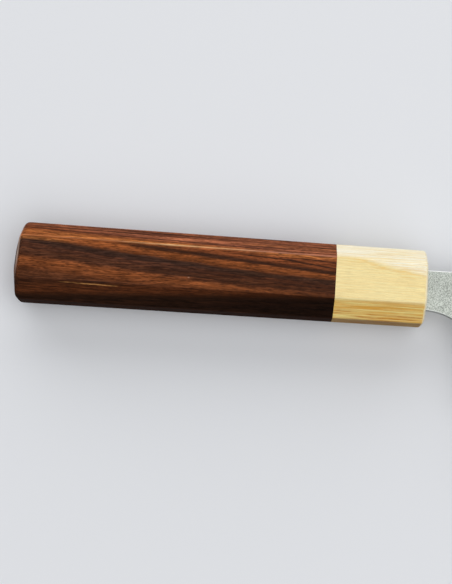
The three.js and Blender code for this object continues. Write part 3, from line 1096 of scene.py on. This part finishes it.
def makePaleWood():
    material, tree, shader, place, grain, wander = startWood("pale_wood", paleWood)
    x, y, z = addNode(tree, "SeparateXYZ", {0: place}).outputs
    across = calc(tree, "ADD", belowRidge(tree, y, z, paleWood), wander)
    ragged = raggedShift(tree, (grain["streak"], grain["fibre"]), paleWood["raggedness"])
    across = calc(tree, "ADD", across, ragged)
    rows = fade(tree, grain["streak"], *paleWood["spread"])
    color = between(tree, rows, paleWood["heartwood"])
    ring = calc(tree, "MULTIPLY_ADD", x, paleWood["ringSlope"], paleWood["ringLevel"])
    ring = calc(tree, "MAXIMUM", ring, paleWood["ringLeast"])
    outside = fade(tree, minus(tree, across, ring), *paleWood["sapBlend"])
    lower = fade(tree, y, *paleWood["lowerBlend"])
    for share, title in ((outside, "sapwood"), (lower, "lowerSide")):
        color = mixColors(tree, share, color, between(tree, rows, paleWood[title]))
    downwards = calc(tree, "MULTIPLY_ADD", wander, paleWood["streakWander"], product(tree, y, -1.0))
    broken = fade(tree, grain["fibre"], *paleWood["lineBreaks"])
    for level, title in ((across, "ring"), (downwards, "streak")):
        for line in paleWood[title + "Lines"]:
            shown = product(tree, drawLine(tree, x, level, line), paleWood[title + "Strength"], broken)
            color = tinted(tree, color, shown, paleWood[title + "Color"])
    # painted shade on the belly facet
    color = tinted(tree, color, onBelly(tree, x, y), paleWood["paintedBellyShade"], "MULTIPLY")
    color = toned(tree, color, fade(tree, grain["fibre"], *paleWood["fibreTone"]))
    pores = product(tree, grain["pores"], paleWood["poreStrength"])
    color = tinted(tree, color, pores, paleWood["poreColor"])
    polish = useGroup(tree, handPolish, position=place, patch=paleWood["polishPatch"])
    # painted highlight on the lower half of the front rim, and light wear on the ridges
    rim = product(tree, polish["rim"], fade(tree, y, *paleWood["rimHighlightSide"]))
    wearAndHighlight = calc(tree, "MAXIMUM", product(tree, polish["ridge"], paleWood["ridgeTint"]), rim)
    color = tinted(tree, color, wearAndHighlight, paleWood["polishAndHighlightColor"])
    rough = fade(tree, grain["fibre"], *paleWood["rough"])
    gloss = product(tree, polish["rim"], paleWood["rimGloss"])
    finishWood(tree, shader, paleWood, grain, color, rough, gloss)
    return material


claddingFinish = {
    "dimples": (0.23, 1.5, 0.45),    # size, detail and roughness of the pear skin
    "pitLevels": (0.36, 0.56),
    "pearSkin": ((110, 113, 108), (160, 164, 156)),   # pits and skin
    "clouds": (1.5, 3.0, 0.6),       # broader mottling of the pear skin
    "cloudTone": (0.34, 0.66, 0.94, 1.06),   # noise levels and tones
    "bevel": (141, 144, 145),
    "bevelBlend": 0.25,
    "bevelWobble": 0.8,
    "hazeTone": (0.3, 0.7, 0.965, 1.03),
    "eased": (228, 230, 228),        # burnished edges of spine, neck and choil
    "easedRough": 0.36,
    "satin": (0.3, 0.7, 0.26, 0.42),  # levels and roughness of the bevel
    "skinRough": (0.3, 0.7, 0.5, 0.36),
    "marks": {"length": 14.0, "width": 0.12},
    "marksRelief": 0.08,
    "bump": (0.5, 0.03),
}


def makeCladdingSteel():
    material, tree, shader = newMaterial("cladding_steel")
    place = handleCoordinates(tree)
    eased = meshMark(tree, "eased")
    dimples = lumps(tree, place, *claddingFinish["dimples"])
    pits = calc(tree, "MAXIMUM", fade(tree, dimples, *claddingFinish["pitLevels"]), eased)
    marks = useGroup(tree, stoneMarks, position=place, **claddingFinish["marks"])
    wobble = raggedShift(tree, [marks["haze"]], [claddingFinish["bevelWobble"]])
    height = calc(tree, "ADD", meshMark(tree, "edgeDepth"), wobble)
    foot, blend = blade["bevelHeight"], claddingFinish["bevelBlend"]
    skin = fade(tree, height, foot - blend, foot + blend)
    clouds = lumps(tree, place, *claddingFinish["clouds"])
    pearColor = between(tree, pits, claddingFinish["pearSkin"])
    pearColor = toned(tree, pearColor, fade(tree, clouds, *claddingFinish["cloudTone"]))
    faceColor = mixColors(tree, skin, srgb(*claddingFinish["bevel"]), pearColor)
    faceColor = toned(tree, faceColor, fade(tree, marks["haze"], *claddingFinish["hazeTone"]))
    satin = fade(tree, marks["marks"], *claddingFinish["satin"])
    skinRough = fade(tree, dimples, *claddingFinish["skinRough"])
    ground = product(tree, satin, minus(tree, 1.0, skin))
    faceRough = calc(tree, "MULTIPLY_ADD", skinRough, skin, ground)
    smoother = minus(tree, claddingFinish["easedRough"], faceRough)
    plug(tree, shader, {
        "Base Color": tinted(tree, faceColor, eased, claddingFinish["eased"]),
        "Roughness": calc(tree, "MULTIPLY_ADD", smoother, eased, faceRough),
        "Metallic": 1.0,
    })
    scratches = product(tree, marks["marks"], claddingFinish["marksRelief"])
    relief = calc(tree, "ADD", product(tree, pits, skin), scratches)
    addBump(tree, shader, relief, *claddingFinish["bump"])
    return material


coreFinish = {
    "steel": ((122, 125, 127), (135, 138, 139)),      # clouds and clear steel
    "cloudLevels": (0.35, 0.65),
    "rough": (0.3, 0.7, 0.14, 0.26),
    "marks": {"length": 18.0, "width": 0.08},
    "bump": (0.12, 0.01),
}


def makeCoreSteel():
    material, tree, shader = newMaterial("core_steel")
    marks = useGroup(tree, stoneMarks, position=handleCoordinates(tree), **coreFinish["marks"])
    cloud = fade(tree, marks["haze"], *coreFinish["cloudLevels"])
    plug(tree, shader, {
        "Base Color": between(tree, cloud, coreFinish["steel"]),
        "Roughness": fade(tree, marks["marks"], *coreFinish["rough"]),
        "Metallic": 1.0,
    })
    addBump(tree, shader, marks["marks"], *coreFinish["bump"])
    return material


adhesive = {
    "colors": ((160, 140, 98), (186, 168, 124)),
    "clouds": (1.25, 3.0),
    "rough": (0.3, 0.7, 0.45, 0.65),
    "bump": (0.3, 0.1),
}


def makeAdhesive():
    material, tree, shader = newMaterial("cured_adhesive")
    cloud = lumps(tree, handleCoordinates(tree), *adhesive["clouds"])
    plug(tree, shader, {
        "Base Color": between(tree, cloud, adhesive["colors"]),
        "Roughness": fade(tree, cloud, *adhesive["rough"]),
    })
    addBump(tree, shader, cloud, *adhesive["bump"])
    return material


def dress(piece, material, node):
    piece.data.materials.append(material)
    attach(piece, "root")
    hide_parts(node)


claddingSteel = makeCladdingSteel()
dress(makeGrip(), makeRosewood(), "handle_body")
dress(makeFerrule(), makePaleWood(), "ferrule")
print("handle made")
dress(makeCore(), makeCoreSteel(), "core_steel")
dress(makeCladding("right_layer", 1), claddingSteel, "right_cladding")
dress(makeCladding("left_layer", -1), claddingSteel, "left_cladding")
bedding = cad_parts["tang_bedding"]
bedding.data.materials.clear()
bedding.data.materials.append(makeAdhesive())
print("blade made")

studio = {
    "floorSize": 6.0,            # metres
    "floorCells": 8,
    "floorColor": (226, 228, 232),
    "bounceColor": (84, 86, 90),  # what the floor gives back to the knife's underside
    "floorRough": 0.9,
    "floorSpecular": 0.1,
    "fadeOut": (0.35, 1.1),      # metres from the knife over which the floor turns into background
    "fillLevel": 0.14,
    "lamps": {                   # direction, distance, size and power
        "window": ((-0.16, 0.89, 0.42), 2.2, (4.0, 2.0), 49.0),
        "ceiling": ((0.3, -0.3, 0.85), 2.2, (3.2, 3.2), 51.5),
    },
}


# Rays that show a surface or a reflection, and not the light that falls on it
def seenRays(tree):
    rays = addNode(tree, "LightPath").outputs
    seen = calc(tree, "MAXIMUM", rays["Is Camera Ray"], rays["Is Glossy Ray"])
    return calc(tree, "MAXIMUM", seen, rays["Is Transmission Ray"])


def makeFloor():
    bm = bmesh.new()
    cells = studio["floorCells"]
    bmesh.ops.create_grid(bm, x_segments=cells, y_segments=cells, size=studio["floorSize"] / 2)
    mesh = bpy.data.meshes.new("studio_floor")
    bm.to_mesh(mesh)
    bm.free()
    floor = bpy.data.objects.new("studio_floor", mesh)
    scene.collection.objects.link(floor)
    material, tree, shader = newMaterial("pale_floor")
    plug(tree, shader, {
        "Base Color": between(tree, seenRays(tree), (studio["bounceColor"], studio["floorColor"])),
        "Roughness": studio["floorRough"],
        "Specular IOR Level": studio["floorSpecular"],
    })
    place = addNode(tree, "TexCoord").outputs["Object"]
    away = addNode(tree, "VectorMath", {0: place}, operation="LENGTH").outputs["Value"]
    faded = product(tree, fade(tree, away, *studio["fadeOut"]), seenRays(tree))
    glow = addNode(tree, "Emission", {"Color": srgb(*studio["floorColor"])}).outputs[0]
    mixed = addNode(tree, "MixShader", {0: faded, 1: shader.outputs[0], 2: glow}).outputs[0]
    wire(tree, tree.nodes["Material Output"].inputs["Surface"], mixed)
    floor.data.materials.append(material)


def makeWorld():
    world = bpy.data.worlds.new("studio")
    world.use_nodes = True
    scene.world = world
    tree = world.node_tree
    fill = (studio["fillLevel"],) * 3 + (1.0,)
    shown = tinted(tree, fill, seenRays(tree), studio["floorColor"])
    wire(tree, tree.nodes["Background"].inputs["Color"], shown)


def makeLamps():
    for name, (direction, distance, size, power) in studio["lamps"].items():
        light = bpy.data.lights.new(name, "AREA")
        light.shape = "RECTANGLE"
        light.size, light.size_y = size
        light.energy = power
        lamp = bpy.data.objects.new(name, light)
        lamp.visible_camera = False
        towards = Vector(direction).normalized()
        lamp.location = handleOrigin + towards * distance
        lamp.rotation_euler = towards.to_track_quat("Z", "Y").to_euler()
        scene.collection.objects.link(lamp)


photoView = {                    # degrees and millimetres
    "tilt": 11.144,
    "pan": -0.889,
    "roll": 3.901,
    "distance": 424.91,
    "lens": 84.42,
    "aimBack": 63.0,             # behind the ferrule's front
    "aimRight": 1.55,
    "aimUp": -5.102,
    "clipStart": 10.0,
}


def makeCamera():
    turn = Matrix.Rotation(math.radians(photoView["tilt"]), 3, "X")
    turn = turn @ Matrix.Rotation(math.radians(-photoView["pan"]), 3, "Y")
    turn = turn @ Matrix.Rotation(math.radians(photoView["roll"]), 3, "Z")
    offset = Vector((photoView["aimRight"], photoView["aimUp"], photoView["distance"]))
    data = bpy.data.cameras.new("photo_view")
    data.lens = photoView["lens"]
    data.clip_start = photoView["clipStart"] * mm
    camera = bpy.data.objects.new("photo_view", data)
    aim = handleOrigin - Vector((photoView["aimBack"], 0, 0)) * mm
    camera.location = aim + turn @ offset * mm
    camera.rotation_euler = turn.to_euler()
    scene.collection.objects.link(camera)
    scene.camera = camera


makeFloor()
makeWorld()
makeLamps()
makeCamera()
print("studio made")
